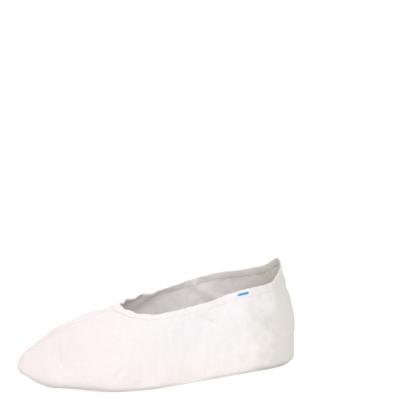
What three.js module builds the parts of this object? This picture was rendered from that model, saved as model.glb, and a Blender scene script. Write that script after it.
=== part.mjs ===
// A thin disposable cover for a right shoe, with the form it has when it is worn on the floor.
// The wall is a smooth bag drawn through ribs. Each rib climbs from the sole edge, round the
// widest point, up to the opening. Folds and dents then push that smooth wall in or out.
//
// Foot measures: forward of the heel back, inward (towards the other foot) and height, all in mm.
// In the finished frame the toe points along -X, the inner side faces -Y and Z is up.
import * as THREE from 'three';

// ---------- Driving sizes, in millimetres ----------
const CLOTH = 1.3; // thickness of the cloth wall
const GAP = 0.3; // clear space between neighbouring pieces
const HEM_GAP = 0.6; // clear space under the hem, where both edges curve
const SOLE_CLOTH = 1.2; // thickness of the underside
const HEM_DEPTH = 9; // height of the folded casing with the elastic in it
const SEAM_HALF = 1.2; // half the width of the raised seam
const SEAM_HEIGHT = 1.3; // how far the seam stands out of the wall
const BELLY_SHARE = 0.22; // share of a rib that lies below its widest point
const SOLE_FADE = 0.08; // share of a rib over which folds die out at the sole edge
const BEND_OUT = 0.62; // share of the way out to the widest point that the bend keeps level
const BEND_LIFT = 0.15; // share of the full slope at which it leaves the sole edge
const BEND_UPRIGHT = 0.552; // share of the way up to the widest point that it stays upright
const SWING_ACROSS = 130; // length of one swing of the swells across the foot
const GATHER_SWELL = 0.45; // how far the gathers of the hem stand in and out

// ---------- Mesh fineness ----------
const PANEL_COLUMNS = 46;
const LOW_ROWS = 4; // rows of a panel below the widest point
const HIGH_ROWS = 11; // rows of a panel above it
const SEAM_ROWS = 28;
const SOLE_STATIONS = 44;
const SOLE_ROWS = 8;
const HEM_GATHERS = 34;
const STEPS_PER_GATHER = 6;

// ---------- The ribs, from the toe round the inner side to the heel and back ----------
// sole:  forward, inward, height of the sole edge
// belly: forward, inward, height of the widest point
// top:   forward, inward, height of the opening
// rise:  how long the wall stays upright above the belly
// lean:  slope of the wall at the opening, in degrees from level
// run:   how long it keeps that slope
const RIBS = [
  // sole          belly          top            rise lean run
  [289, 4, 15.5, 310.5, 4, 29.5, 196, 2, 81, 14, 12, 79], // toe
  [285, 24, 12.2, 300, 27, 28, 193, 15, 80, 15, 14, 70], // inner corner of the toe
  [264, 37, 11.6, 277, 41, 26, 184, 28, 79, 20, 20, 52], // inner side of the toes
  [222, 42, 4.2, 228, 49, 22, 169, 36, 79, 26, 34, 34], // inner ball
  [172, 43, 1.5, 175, 48, 24, 142, 39, 82, 24, 52, 26], // front of the arch
  [120, 38, 1.5, 121, 42, 26, 108, 38, 87, 24, 70, 26], // arch
  [74, 32, 1.5, 74, 37, 26, 72, 35, 94, 26, 80, 28], // front of the heel
  [32, 26, 1.5, 30, 33, 26, 42, 31, 96, 28, 80, 30], // inner side of the heel
  [12, 15, 1.5, 8, 19, 28, 26, 19, 102, 30, 78, 32], // inner corner of the heel
  [5, 0, 1.5, 0, 0, 28, 18, 0, 114, 32, 76, 34], // heel back
  [12, -16, 1.5, 8, -20, 28, 26, -19, 102, 30, 78, 32], // outer corner of the heel
  [32, -29, 1.5, 30, -35, 26, 42, -32, 96, 28, 80, 30], // outer side of the heel
  [74, -36, 1.5, 74, -41, 26, 72, -37, 94, 26, 80, 28], // front of the heel, outside
  [120, -43, 1.5, 121, -47, 26, 108, -40, 87, 24, 70, 26], // outer waist
  [166, -48, 1.5, 168, -53, 24, 142, -39, 81, 24, 52, 26], // behind the outer ball
  [212, -49, 2.6, 216, -55, 22, 169, -34, 78, 26, 34, 34], // outer ball
  [254, -40, 9.6, 263, -47, 25, 184, -24, 77.2, 21, 22, 48], // outer side of the toes
  [279, -18, 13.2, 294, -25, 28, 193, -11, 79, 14, 14, 66], // outer corner of the toe
];
const TOE = 0; // where the ribs start, as a share of the way round
const HEEL = 0.5; // the heel back, half way round

// ---------- Folds, creases and dents ----------
// from, to: forward, inward, height of both ends
// width:    half the width of the fold
// depth:    how far it pushes the wall, inwards if negative
// lip:      share of the depth that swells up along both sides
const FOLDS = [
  // from            to              width depth lip
  [74, 36, 84, 34, 33, 41, 4.8, -1.9, 0.45], // drag fold from under the ankle to the heel
  [122, 40, 71, 103, 39, 61, 3, -1.1, 0.5], // short crease under the opening
  [59, 36, 29, 32, 33, 25, 2.8, -0.9, 0.4], // pressed wrinkle beside the heel
  [57, 36, 21, 32, 33, 18, 2.8, -0.7, 0.4], // pressed wrinkle below it
  [57, 36, 14, 32, 33, 11, 2.8, -0.8, 0.4], // the lowest of the three
  [222, 49, 21, 211, 49, 29, 2.8, -0.9, 0.4], // crease where the ball bends
  [199, 47, 9, 184, 47, 16, 2.8, -0.9, 0.4], // crease behind the ball
  [247, 26, 62, 233, 24, 68, 3, -1.0, 0.4], // crease over the toes
  [205, 33, 70, 199, 34, 72, 5, -0.9, 0.3], // pucker under the opening
  [218, 39, 61, 213, 41, 59, 5, -0.9, 0.3], // pucker above the ball
  [287, 20, 50, 291, 34, 33, 5, 1.3, 0], // soft edge of the shoe's toe cap
  [272, 24, 52, 274, 39, 37, 9, -1.9, 0], // hollow behind that edge
  [136, 43, 52, 134, 42, 16, 20, -2.2, 0], // hollow of the arch
  [286, 3, 54, 284, -5, 55, 5, 1.2, 0.2], // knuckle on the toe seam
  [260, -25, 55, 222, -24, 71, 10, 2.4, 0.1], // swell over the small toes
  [150, -39, 77, 206, -52, 30, 6, -1.8, 0.5], // drag fold on the outer side
  [170, -35, 76, 232, -50, 34, 6, -1.5, 0.5], // drag fold in front of it
  [98, -40, 80, 60, -37, 52, 5, -1.6, 0.45], // drag fold outside the ankle
  [60, -38, 28, 32, -35, 24, 3, -1.0, 0.4], // pressed wrinkle beside the heel, outside
  [244, -40, 56, 230, -36, 62, 4, -1.2, 0.4], // crease over the small toes
  [120, -45, 48, 122, -44, 18, 20, -1.8, 0], // hollow of the outer waist
  [8, 14, 84, 4, -12, 78, 5, -1.3, 0.4], // crease across the back of the heel
];

// Slow unevenness of the whole wall.
// forward, height: length of one swing along the foot and upwards; depth; shift of its start
const SWELLS = [
  [97, 61, 0.7, 0.4],
  [53, 83, 0.55, 1.9],
  [37, 41, 0.35, 3.1],
];

// Soft puckers that the elastic pulls into the wall below the hem.
const PUCKERS = 15;
const PUCKER_DEPTH = 0.9;
const PUCKER_REACH = 0.16; // share of a rib that they run down

// ---------- Smooth wall ----------
function lineThrough(firstColumn) {
  const places = RIBS.map((row) => new THREE.Vector3().fromArray(row, firstColumn));
  return new THREE.CatmullRomCurve3(places, true, 'catmullrom', 0.5);
}

const SOLE_LINE = lineThrough(0);
const BELLY_LINE = lineThrough(3);
const TOP_LINE = lineThrough(6);
const FULLNESS_LINE = lineThrough(9); // rise, lean and run, read like a place

const wrap = (share) => ((share % 1) + 1) % 1;

// The sole edge, which never dips below the sheet that lies flat on the floor.
function soleEdge(share) {
  const edge = SOLE_LINE.getPoint(share);
  edge.z = Math.max(edge.z, SOLE_CLOTH + GAP);
  return edge;
}

// The bend under the widest point: nearly level at the sole edge, upright at the belly.
function lowerBend(sole, belly) {
  const out = belly.clone().sub(sole);
  const level = new THREE.Vector3(out.x, out.y, out.z * BEND_LIFT).multiplyScalar(BEND_OUT);
  const upright = new THREE.Vector3(0, 0, out.z * BEND_UPRIGHT);
  return new THREE.CubicBezierCurve3(sole, sole.clone().add(level), belly.clone().sub(upright), belly);
}

// The wall above the belly: upright first, then leaning in to the opening.
function upperWall(belly, top, fullness) {
  const [rise, lean, run] = [fullness.x, THREE.MathUtils.degToRad(fullness.y), fullness.z];
  const away = new THREE.Vector3(belly.x - top.x, belly.y - top.y, 0).normalize();
  const approach = away.multiplyScalar(Math.cos(lean) * run);
  approach.z = -Math.sin(lean) * run;
  const above = belly.clone().add(new THREE.Vector3(0, 0, rise));
  return new THREE.CubicBezierCurve3(belly, above, top.clone().add(approach), top);
}

// A place on the smooth wall: a share of the way round and a share of the way up its rib.
function smoothPlace(around, up) {
  const share = wrap(around);
  const belly = BELLY_LINE.getPoint(share);
  if (up < BELLY_SHARE) {
    return lowerBend(soleEdge(share), belly).getPoint(up / BELLY_SHARE);
  }
  const wall = upperWall(belly, TOP_LINE.getPoint(share), FULLNESS_LINE.getPoint(share));
  return wall.getPoint((up - BELLY_SHARE) / (1 - BELLY_SHARE));
}

// Both directions along the smooth wall, and the direction straight out of it.
const STEP = 0.002;
function directions(around, up) {
  const low = Math.max(up - STEP, 0);
  const high = Math.min(up + STEP, 1);
  const along = smoothPlace(around + STEP, up).sub(smoothPlace(around - STEP, up));
  const climb = smoothPlace(around, high).sub(smoothPlace(around, low));
  along.divideScalar(2 * STEP);
  climb.divideScalar(high - low);
  return { along, climb, out: along.clone().cross(climb).normalize() };
}

// ---------- Folds pushed into it ----------
const READY_FOLDS = FOLDS.map((row) => ({
  line: new THREE.Line3(new THREE.Vector3().fromArray(row, 0), new THREE.Vector3().fromArray(row, 3)),
  width: row[6],
  depth: row[7],
  lip: row[8],
}));

function foldPush(place) {
  let push = 0;
  const nearest = new THREE.Vector3();
  for (const fold of READY_FOLDS) {
    fold.line.closestPointToPoint(place, true, nearest);
    const reach = nearest.distanceTo(place) / fold.width;
    push += fold.depth * (Math.exp(-reach * reach) - fold.lip * Math.exp(-((reach - 2) ** 2)));
  }
  for (const [forward, height, depth, shift] of SWELLS) {
    const turn = 2 * Math.PI;
    push += depth * Math.sin(turn * (place.x / forward + place.y / SWING_ACROSS) + shift)
      * Math.cos(turn * (place.z / height) + shift);
  }
  return push;
}

function puckerPush(around, up) {
  const depth = Math.max(0, 1 - (1 - up) / PUCKER_REACH);
  return PUCKER_DEPTH * depth * Math.cos(2 * Math.PI * PUCKERS * around);
}

// A place on the cloth itself, `outward` mm off its outer face.
function clothPlace(around, up, outward) {
  const place = smoothPlace(around, up);
  const { out } = directions(around, up);
  const fade = THREE.MathUtils.smoothstep(up, 0, SOLE_FADE);
  const push = (foldPush(place) + puckerPush(around, up)) * fade;
  return place.addScaledVector(out, push + outward);
}

// ---------- Closed meshes ----------
// Skins a row of loops. A loop runs there along one face and back along the other, so that an
// open row can be capped by joining each place with the one facing it.
function skin(loops, isRing) {
  const size = loops[0].length;
  const corners = [];
  loops.forEach((loop) => loop.forEach((place) => corners.push(place.x, place.y, place.z)));
  const triangles = [];
  const quad = (a, b, c, d) => triangles.push(a, b, c, a, c, d);
  const last = isRing ? loops.length : loops.length - 1;
  for (let row = 0; row < last; row += 1) {
    const here = row * size;
    const next = ((row + 1) % loops.length) * size;
    for (let spot = 0; spot < size; spot += 1) {
      const beside = (spot + 1) % size;
      quad(here + spot, next + spot, next + beside, here + beside);
    }
  }
  if (!isRing) {
    const end = (loops.length - 1) * size;
    for (let spot = 0; spot < size / 2 - 1; spot += 1) {
      const facing = size - 1 - spot;
      quad(spot, spot + 1, facing - 1, facing);
      quad(end + spot, end + facing, end + facing - 1, end + spot + 1);
    }
  }
  const geometry = new THREE.BufferGeometry();
  geometry.setAttribute('position', new THREE.Float32BufferAttribute(corners, 3));
  geometry.setIndex(triangles);
  geometry.computeVertexNormals();
  return geometry;
}

const shares = (count) => Array.from({ length: count + 1 }, (_, step) => step / count);

// The rib share at a distance in mm below the opening.
function upBelowTop(around, distance) {
  return 1 - distance / directions(around, 1).climb.length();
}

// The share of the way round that clears half a seam and its gap.
function seamClearance(around, up) {
  return (SEAM_HALF + GAP) / directions(around, up).along.length();
}

// ---------- The pieces ----------
// One half of the upper, between two seams, from the sole edge up to the hem.
function sidePanel(from, to) {
  const rows = [
    ...shares(LOW_ROWS).map((share) => () => share * BELLY_SHARE),
    ...shares(HIGH_ROWS).slice(1).map((share) => (around) => {
      const top = upBelowTop(around, HEM_DEPTH + HEM_GAP);
      return BELLY_SHARE + share * (top - BELLY_SHARE);
    }),
  ];
  const loops = shares(PANEL_COLUMNS).map((share) => {
    const face = (outward) => rows.map((rowHeight) => {
      const up = rowHeight(from + share * (to - from));
      const start = from + seamClearance(from, up);
      const end = to - seamClearance(to, up);
      return clothPlace(start + share * (end - start), up, outward);
    });
    return [...face(0), ...face(-CLOTH).reverse()];
  });
  return skin(loops, false);
}

// A raised ridge of folded cloth, up a rib from the sole edge to the hem.
function seamRidge(around) {
  const shoulder = 0.3 * SEAM_HEIGHT;
  const crest = 0.6 * SEAM_HALF;
  const section = [
    [-SEAM_HALF, shoulder],
    [-crest, SEAM_HEIGHT],
    [crest, SEAM_HEIGHT],
    [SEAM_HALF, shoulder],
    [SEAM_HALF, -CLOTH],
    [-SEAM_HALF, -CLOTH],
  ];
  const top = upBelowTop(around, HEM_DEPTH + HEM_GAP);
  const loops = shares(SEAM_ROWS).map((share) => {
    const up = share * top;
    const aside = directions(around, up).along.normalize();
    return section.map(([sideways, outward]) => (
      clothPlace(around, up, outward).addScaledVector(aside, sideways)));
  });
  return skin(loops.reverse(), false);
}

// The underside, a thin sheet just below the sole edge, level on the floor and lifted at the toe.
function soleSheet() {
  const ends = 0.01; // the sheet stops this share of the way round short of the toe and heel
  const loops = shares(SOLE_STATIONS).map((share) => {
    const around = ends + share * (HEEL - 2 * ends);
    const inner = smoothPlace(around, 0);
    const outer = smoothPlace(-around, 0);
    const face = (drop) => shares(SOLE_ROWS).map((across) => {
      const place = inner.clone().lerp(outer, across);
      place.z -= drop;
      return place;
    });
    return [...face(GAP + SOLE_CLOTH), ...face(GAP).reverse()];
  });
  return skin(loops.reverse(), false);
}

// The folded casing round the opening, gathered by its elastic.
function elasticHem() {
  // distance below the opening, and distance out of the wall
  const section = [
    [HEM_DEPTH, 0.5],
    [HEM_DEPTH * 0.55, 1.1],
    [HEM_DEPTH * 0.13, 0.8],
    [0, 0.1],
    [0, -1.4],
    [HEM_DEPTH * 0.13, -2.1],
    [HEM_DEPTH * 0.55, -2.4],
    [HEM_DEPTH, -1.8],
  ];
  const steps = HEM_GATHERS * STEPS_PER_GATHER;
  const loops = shares(steps).slice(0, -1).map((around) => {
    const gather = Math.cos(2 * Math.PI * HEM_GATHERS * around);
    return section.map(([below, outward]) => {
      const up = upBelowTop(around, below);
      const fullness = Math.sin(Math.PI * (0.25 + 0.6 * (below / HEM_DEPTH)));
      const swell = GATHER_SWELL * gather * fullness;
      return clothPlace(around, up, outward + swell);
    });
  });
  return skin(loops, true);
}

// ---------- Materials and assembly ----------
const cloth = (colour, roughness) => new THREE.MeshStandardMaterial({ color: colour, roughness, metalness: 0 });

function piece(name, geometry, material) {
  const mesh = new THREE.Mesh(geometry, material);
  mesh.name = name;
  return mesh;
}

const cover = new THREE.Group();
cover.name = 'shoe_cover';
cover.add(
  piece('side_panel_inner', sidePanel(TOE, HEEL), cloth(0xf7f3f3, 0.75)),
  piece('side_panel_outer', sidePanel(HEEL, 1), cloth(0xf5f1f0, 0.75)),
  piece('sole_sheet', soleSheet(), cloth(0xe9e5e2, 0.85)),
  piece('toe_seam', seamRidge(TOE), cloth(0xf2eeee, 0.75)),
  piece('heel_seam', seamRidge(HEEL), cloth(0xf2eeee, 0.75)),
  piece('elastic_hem', elasticHem(), cloth(0xf8f5f4, 0.7)),
);

// The foot measures turn half a circle about Z, so that the toe points along -X. The origin is
// the middle of the underside of the box round all the pieces.
cover.rotation.z = Math.PI;
cover.updateMatrixWorld(true);
const box = new THREE.Box3().setFromObject(cover);
const middle = box.getCenter(new THREE.Vector3());
cover.position.set(-middle.x, -middle.y, -box.min.z);

export default cover;
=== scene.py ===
# %% [markdown]
# # A disposable shoe cover
# The real thing is a bag of thin white nonwoven cloth that is pulled over a shoe. It has two side
# panels, a flat underside, a raised seam up the toe and another up the heel, and a hem that an
# elastic gathers round the ankle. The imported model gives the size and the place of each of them.
# Here each one is made again as a fine cloth surface, in metres, in the same place.

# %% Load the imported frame
import math

import bpy
import numpy as np
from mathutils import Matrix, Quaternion, Vector


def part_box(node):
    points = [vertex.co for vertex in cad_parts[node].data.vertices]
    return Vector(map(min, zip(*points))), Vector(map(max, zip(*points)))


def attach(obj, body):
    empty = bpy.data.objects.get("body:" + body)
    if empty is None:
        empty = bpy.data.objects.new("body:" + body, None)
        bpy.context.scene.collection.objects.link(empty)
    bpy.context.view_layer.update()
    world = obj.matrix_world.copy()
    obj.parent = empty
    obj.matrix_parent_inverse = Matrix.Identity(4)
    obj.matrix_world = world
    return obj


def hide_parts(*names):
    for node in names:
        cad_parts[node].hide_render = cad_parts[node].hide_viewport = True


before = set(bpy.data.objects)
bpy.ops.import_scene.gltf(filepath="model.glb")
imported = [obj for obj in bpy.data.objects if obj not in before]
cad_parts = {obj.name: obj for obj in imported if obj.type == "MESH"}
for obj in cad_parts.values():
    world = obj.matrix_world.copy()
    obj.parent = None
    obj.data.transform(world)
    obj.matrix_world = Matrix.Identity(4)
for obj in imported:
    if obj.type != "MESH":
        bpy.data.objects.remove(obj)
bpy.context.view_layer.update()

print("nodes:", sorted(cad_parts))

# %% [markdown]
# ## Foot measures
# A shoemaker measures a foot from its heel: so far forward, so far inward towards the other foot,
# and so high. The tables below use those measures in millimetres, because they read well. One
# small function turns them into the frame's metres, where the toe points along -X and the inner
# side faces -Y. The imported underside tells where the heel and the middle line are.

# %% The ribs of the bag
MM = 0.001
# Each rib climbs from the sole edge, round the widest point, up to the opening.
#  sole edge     widest point  opening      rise lean run
#  fwd  in   up  fwd  in  up   fwd  in  up
RIBS = np.array([
    (289, 4, 15.5, 310.5, 4, 29.5, 196, 2, 81, 14, 12, 79),  # toe
    (285, 24, 12.2, 300, 27, 28, 193, 15, 80, 15, 14, 70),  # inner corner of the toe
    (264, 37, 11.6, 277, 41, 26, 184, 28, 79, 20, 20, 52),  # inner side of the toes
    (222, 42, 4.2, 228, 49, 22, 169, 36, 79, 26, 34, 34),  # inner ball
    (172, 43, 1.5, 175, 48, 24, 142, 39, 82, 24, 52, 26),  # front of the arch
    (120, 38, 1.5, 121, 42, 26, 108, 38, 87, 24, 70, 26),  # arch
    (74, 32, 1.5, 74, 37, 26, 72, 35, 94, 26, 80, 28),  # front of the heel
    (32, 26, 1.5, 30, 33, 26, 42, 31, 96, 28, 80, 30),  # inner side of the heel
    (12, 15, 1.5, 8, 19, 28, 26, 19, 102, 30, 78, 32),  # inner corner of the heel
    (5, 0, 1.5, 0, 0, 28, 18, 0, 114, 32, 76, 34),  # heel back
    (12, -16, 1.5, 8, -20, 28, 26, -19, 102, 30, 78, 32),  # outer corner of the heel
    (32, -29, 1.5, 30, -35, 26, 42, -32, 96, 28, 80, 30),  # outer side of the heel
    (74, -36, 1.5, 74, -41, 26, 72, -37, 94, 26, 80, 28),  # front of the heel, outside
    (120, -43, 1.5, 121, -47, 26, 108, -40, 87, 24, 70, 26),  # outer waist
    (166, -48, 1.5, 168, -53, 24, 142, -39, 81, 24, 52, 26),  # behind the outer ball
    (212, -49, 2.6, 216, -55, 22, 169, -34, 78, 26, 34, 34),  # outer ball
    (254, -40, 9.6, 263, -47, 25, 184, -24, 77.2, 21, 22, 48),  # outer side of the toes
    (279, -18, 13.2, 294, -25, 28, 193, -11, 79, 14, 14, 66),  # outer corner of the toe
], dtype=float)
SOLE, WIDEST, OPENING, FULLNESS = (slice(start, start + 3) for start in (0, 3, 6, 9))
TOE, HEEL = 0.0, 0.5  # shares of the way round, by the inner side


def cubic_weights(t):
    """The weights of Catmull and Rom's cubic, which passes through its two middle values and
    runs there parallel to the line between their neighbours."""
    before = (-t + 2 * t**2 - t**3) / 2
    here = (2 - 5 * t**2 + 3 * t**3) / 2
    after = (t + 4 * t**2 - 3 * t**3) / 2
    beyond = (t**3 - t**2) / 2
    return before, here, after, beyond


def round_the_bag(columns, around):
    """A closed smooth line through the ribs: that cubic, from each rib to the next."""
    turn = np.mod(around, 1.0) * len(RIBS)
    rib = np.floor(turn).astype(int)
    line = 0
    for step, weight in enumerate(cubic_weights((turn - rib)[..., None])):
        line = line + weight * RIBS[(rib + step - 1) % len(RIBS), columns]
    return line


print("ribs:", len(RIBS), "opening at the heel:", round_the_bag(OPENING, np.array([HEEL]))[0], "mm")

# %% From foot measures to the frame
SHEET_ENDS = 0.01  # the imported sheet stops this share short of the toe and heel
LINE_PLACES = 400
sole_low, sole_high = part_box("sole_sheet")
inner_line = round_the_bag(SOLE, np.linspace(SHEET_ENDS, HEEL - SHEET_ENDS, LINE_PLACES))
HEEL_BACK = sole_high[0] / MM + inner_line[:, 0].min()
MIDDLE = sole_low[1] / MM + inner_line[:, 1].max()


def to_frame(place):
    """Foot measures in millimetres to the frame in metres: forward is -X and inward is -Y."""
    x = HEEL_BACK - place[..., 0]
    y = MIDDLE - place[..., 1]
    return np.stack([x, y, place[..., 2]], axis=-1) * MM


print("heel back at x = %.2f mm, middle line at y = %.2f mm" % (HEEL_BACK, MIDDLE))

# %% [markdown]
# ## Camera
# A long lens from far away keeps the shape of the foot true, where a short one from near by would
# swell the toe. The camera stands a little in front of the inner side and looks down at it. It
# first looks at the middle of the shoe, and is then turned a few degrees up and aside, which
# leaves room above the cover for a leg, as if someone wore it.

# %% Camera
LOOK_AT = np.array([155.0, 0.0, 45.0])  # foot measures of the middle of the shoe
CAMERA_SIDE = math.radians(-20)
CAMERA_RISE = math.radians(18)
CAMERA_AWAY = 2.2
LENS = 179.1
TURN_ASIDE = math.radians(-1.494)
TURN_UP = math.radians(3.382)


def towards(side, rise):
    """The direction from the object to someone at an angle round it and an angle above it."""
    level = math.cos(rise)
    return Vector((math.sin(side) * level, -math.cos(side) * level, math.sin(rise)))


middle_of_shoe = Vector(to_frame(LOOK_AT))
camera = bpy.data.objects.new("camera", bpy.data.cameras.new("camera"))
camera.data.sensor_width = 36
camera.data.lens = LENS
camera.data.clip_end = 50
camera.location = middle_of_shoe + towards(CAMERA_SIDE, CAMERA_RISE) * CAMERA_AWAY
ahead = -towards(CAMERA_SIDE, CAMERA_RISE)
ahead.rotate(Quaternion((0, 0, 1), TURN_ASIDE))
ahead.rotate(Quaternion(ahead.cross((0, 0, 1)).normalized(), TURN_UP))
camera.rotation_euler = ahead.to_track_quat("-Z", "Y").to_euler()
bpy.context.scene.collection.objects.link(camera)
bpy.context.scene.camera = camera
print("camera at", tuple(round(value, 3) for value in camera.location))

# %% [markdown]
# ## Node helpers
# A finish is a chain of nodes joined by wires. These helpers keep each chain short, so that it
# reads as a list of steps. What several finishes share goes into a group with named sockets.

# %% Wiring
class Wiring:
    """Adds nodes to a tree and joins them."""

    def __init__(self, tree):
        self.tree = tree

    def feed(self, socket, value):
        """Joins another socket to this one, or sets it to a plain value."""
        if isinstance(value, bpy.types.NodeSocket):
            self.tree.links.new(value, socket)
        else:
            socket.default_value = value

    def fill(self, node, inputs):
        """Feeds the inputs of a node, by name or by number."""
        for socket, value in dict(inputs).items():
            self.feed(node.inputs[socket], value)

    def node(self, kind, inputs=(), **settings):
        """A new node with its settings and its inputs."""
        made = self.tree.nodes.new("ShaderNode" + kind)
        for name, value in settings.items():
            setattr(made, name, value)
        self.fill(made, inputs)
        return made

    def maths(self, operation, *values):
        """A Math node's result."""
        return self.node("Math", enumerate(values), operation=operation).outputs[0]

    def times(self, first, second):
        """Two values multiplied."""
        return self.maths("MULTIPLY", first, second)

    def ramp(self, value, low, high, to_low=0.0, to_high=1.0):
        """A smooth step between two values."""
        given = enumerate((value, low, high, to_low, to_high))
        return self.node("MapRange", given, interpolation_type="SMOOTHSTEP").outputs[0]

    def noise(self, vector, scale, detail=2.0, roughness=0.5):
        """A Noise texture's value."""
        given = {"Vector": vector, "Scale": scale, "Detail": detail, "Roughness": roughness}
        return self.node("TexNoise", given).outputs["Fac"]

    def mix(self, factor, first, second):
        """A mix of two colours."""
        given = {"Factor": factor, "A": first, "B": second}
        return self.node("Mix", given, data_type="RGBA").outputs["Result"]

    def split(self, vector):
        """The three parts of a vector."""
        return self.node("SeparateXYZ", {0: vector}).outputs

    def attribute(self, name):
        """A number that the mesh carries on every vertex."""
        return self.node("Attribute", attribute_name=name).outputs["Fac"]

    def bump(self, height, distance, under=None):
        """The normal of a bump so many millimetres high, laid over another one if there is one."""
        made = self.node("Bump", {"Height": height, "Distance": distance * MM})
        if under is not None:
            self.feed(made.inputs["Normal"], under)
        return made.outputs["Normal"]


# %% New finishes and groups
def nodes_of(material):
    """The wiring of a material, and its Principled shader."""
    return Wiring(material.node_tree), material.node_tree.nodes["Principled BSDF"]


def new_finish(name):
    """A material with its plain shader, and the wiring of its nodes."""
    material = bpy.data.materials.new(name)
    material.use_nodes = True
    return material, *nodes_of(material)


def new_group(name, inputs, outputs):
    """The wiring of an empty shader group, what it is given and what it has to put out."""
    group = bpy.data.node_groups.new(name, "ShaderNodeTree")
    for way, sockets in (("INPUT", inputs), ("OUTPUT", outputs)):
        for socket, kind in sockets.items():
            group.interface.new_socket(name=socket, in_out=way, socket_type="NodeSocket" + kind)
    given, result = group.nodes.new("NodeGroupInput"), group.nodes.new("NodeGroupOutput")
    return Wiring(group), given.outputs, result.inputs


# %% [markdown]
# ## Studio
# The cover is white on white, so the light has to be bright but even. A white sky lights every
# side, and one soft lamp over the camera's shoulder makes the folds readable. A second, very soft
# one from behind does what a lit white backdrop does, and keeps the far edges pale. Sun lamps
# with a wide angle do that evenly over the whole floor. The floor is a plain pale sheet, much
# larger than the view. Blender's Standard view keeps white as white.

# %% Floor and light
SKY = 0.67
SKY_TINT = (1, 0.995, 0.99, 1)
LAMPS = [
    # name, strength, softness, side and rise in degrees
    ("front_lamp", 1.20, 50, -22, 38),
    ("back_lamp", 1.00, 90, 155, 38),
]
FLOOR_HALF = 12
FLOOR_DROP = 0.0002  # below the sole, so that no two faces lie in one plane
FLOOR_TINT = (0.90, 0.90, 0.90, 1)
FLOOR_GLOW = 1.3
GLOW_SHARE = 0.7  # only for the eye: it lightens the floor's shadow, and lights nothing

scene = bpy.context.scene
scene.view_settings.view_transform = "Standard"
scene.view_settings.look = "None"

sky = bpy.data.worlds.new("white_sky")
sky.use_nodes = True
background = sky.node_tree.nodes["Background"]
background.inputs["Color"].default_value = SKY_TINT
background.inputs["Strength"].default_value = SKY
scene.world = sky

for name, strength, softness, side, rise in LAMPS:
    lamp = bpy.data.objects.new(name, bpy.data.lights.new(name, "SUN"))
    lamp.data.energy = strength
    lamp.data.angle = math.radians(softness)
    downwards = -towards(math.radians(side), math.radians(rise))
    lamp.rotation_euler = downwards.to_track_quat("-Z", "Y").to_euler()
    scene.collection.objects.link(lamp)

floor_mesh = bpy.data.meshes.new("floor")
floor_corners = [
    (x * FLOOR_HALF, y * FLOOR_HALF, -FLOOR_DROP) for x, y in ((-1, -1), (1, -1), (1, 1), (-1, 1))]
floor_mesh.from_pydata(floor_corners, [], [(0, 1, 2, 3)])
floor = bpy.data.objects.new("floor", floor_mesh)
scene.collection.objects.link(floor)

floor_finish, wire, matt = new_finish("pale_floor")
wire.fill(matt, {"Base Color": FLOOR_TINT, "Roughness": 1.0, "Specular IOR Level": 0.1})
seen = wire.times(wire.node("LightPath").outputs["Is Camera Ray"], GLOW_SHARE)
glow = wire.node("Emission", {"Strength": FLOOR_GLOW})
blend = wire.node("MixShader", {0: seen, 1: matt.outputs[0], 2: glow.outputs[0]})
wire.feed(floor_finish.node_tree.nodes["Material Output"].inputs["Surface"], blend.outputs[0])
floor_mesh.materials.append(floor_finish)
print("sky %.2f, lamps: %s" % (SKY, [lamp[0] for lamp in LAMPS]))

# %% [markdown]
# ## The smooth bag
# Without its wrinkles the cover is a smooth bag over a shoe. It could be sculpted, or lofted
# through drawn sections. A formula is easier to keep true: every place on it has two numbers, a
# share of the way round and a share of the way up, and two short Bezier curves carry each rib
# from the sole to the opening. Where the sole lies on the floor, the cloth folds more sharply.

# %% Measures and curves
WIDEST_SHARE = 0.22  # share of a rib below its widest point
BEND_OUT = 0.62  # share of the way out to the widest point that the bend keeps nearly level
BEND_LIFT = 0.15  # share of the full slope at which it leaves the sole edge
BEND_UPRIGHT = 0.552  # share of the way up to the widest point that it stays upright
FLOOR_FOLD = 0.28  # added to BEND_OUT and BEND_UPRIGHT on the floor, for a sharper fold
FLOOR_LIFT = 6  # mm of lift over which that is lost
FLOOR_CLEARANCE = 1.5  # the sole edge is never lower than this, in mm
NEARBY = 0.002  # share between a place and its neighbours, from which its directions come
ROUND_SHARES = np.linspace(0, 1, 721)  # every half degree round the bag
UP = np.array([0.0, 0.0, 1.0])


def fade_in(share):
    """The ramp 3t^2 - 2t^3 from 0 to 1."""
    t = np.clip(share, 0, 1)
    return t * t * (3 - 2 * t)


def bezier(a, b, c, d, part):
    """A cubic Bezier curve: the four places weighted by the four terms of (1 - t + t) cubed."""
    t = part[..., None]
    return (1 - t) ** 3 * a + 3 * (1 - t) ** 2 * t * b + 3 * (1 - t) * t**2 * c + t**3 * d


# %% Directions and lengths
def unit(vectors):
    """The same directions with length 1."""
    return vectors / np.linalg.norm(vectors, axis=-1, keepdims=True)


def walked(places, axis=0):
    """The length of the way along one axis of a table of places, up to each of them."""
    steps = np.linalg.norm(np.diff(places, axis=axis), axis=-1).cumsum(axis=axis)
    return np.insert(steps, 0, 0, axis=axis)


# %% Places on the smooth bag
def sole_edge(around):
    """The sole edge, lifted where the smooth line would dip below the underside."""
    edge = round_the_bag(SOLE, around)
    edge[..., 2] = np.maximum(edge[..., 2], FLOOR_CLEARANCE)
    return edge


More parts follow.
